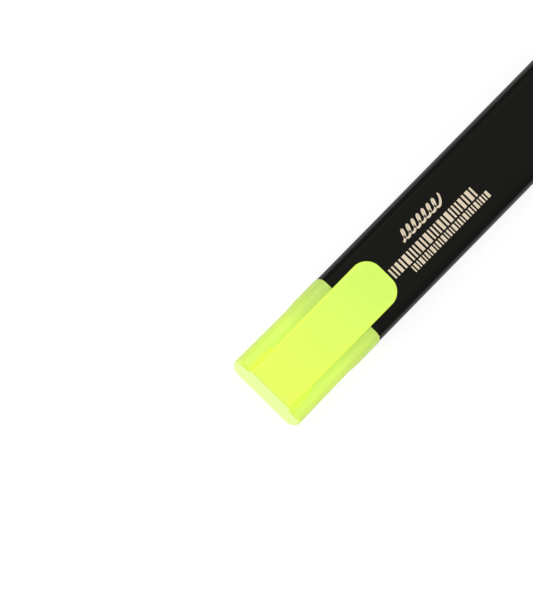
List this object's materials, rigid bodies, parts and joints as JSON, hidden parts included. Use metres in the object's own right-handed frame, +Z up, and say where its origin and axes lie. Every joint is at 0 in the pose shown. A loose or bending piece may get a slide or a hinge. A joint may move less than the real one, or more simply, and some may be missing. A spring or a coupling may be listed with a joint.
{
  "type": "highlighter",
  "caption": "Flat oval highlighter pen: black barrel, translucent fluorescent yellow cap with a broad flat clip, chisel fibre nib and ink reservoir inside.",
  "frame": {"origin": "middle of the capped pen's length and width, on the surface it lies on", "axes": "+X from the tail to the cap's end, +Z up through the clip, Y across the broad face"},
  "size_m": [0.1222, 0.0194, 0.0139],
  "materials": {
    "barrel": "fine satin, black polypropylene",
    "front_section": "satin, black polypropylene",
    "nib": "bonded fibre soaked in yellow ink",
    "ink_reservoir": "ink-soaked fibre",
    "reservoir_film": "thin clear film",
    "end_plug": "glossy, fluorescent yellow",
    "cap_shell": "glossy, translucent fluorescent yellow",
    "inner_cap": "satin, natural polypropylene",
    "clip": "glossy, translucent fluorescent yellow"
  },
  "bodies": {
    "pen": {"barrel": "barrel", "front_section": "front_section", "nib": "nib", "ink_reservoir": "ink_reservoir", "reservoir_film": "reservoir_film", "end_plug": "end_plug"},
    "cap": {"cap_shell": "cap_shell", "inner_cap": "inner_cap"},
    "clip": {"clip": "clip"}
  },
  "joints": [
    {"name": "cap_pull", "type": "slide", "parent": "pen", "child": "cap", "axis": [1, 0, 0], "range_m": [0, 0.06]},
    {"name": "clip_flex", "type": "hinge", "parent": "cap", "child": "clip", "pos_m": [0.0531, 0, 0.01315], "axis": [0, 1, 0], "range_deg": [0, 5], "stiffness_Nm_per_rad": 0.2}
  ]
}
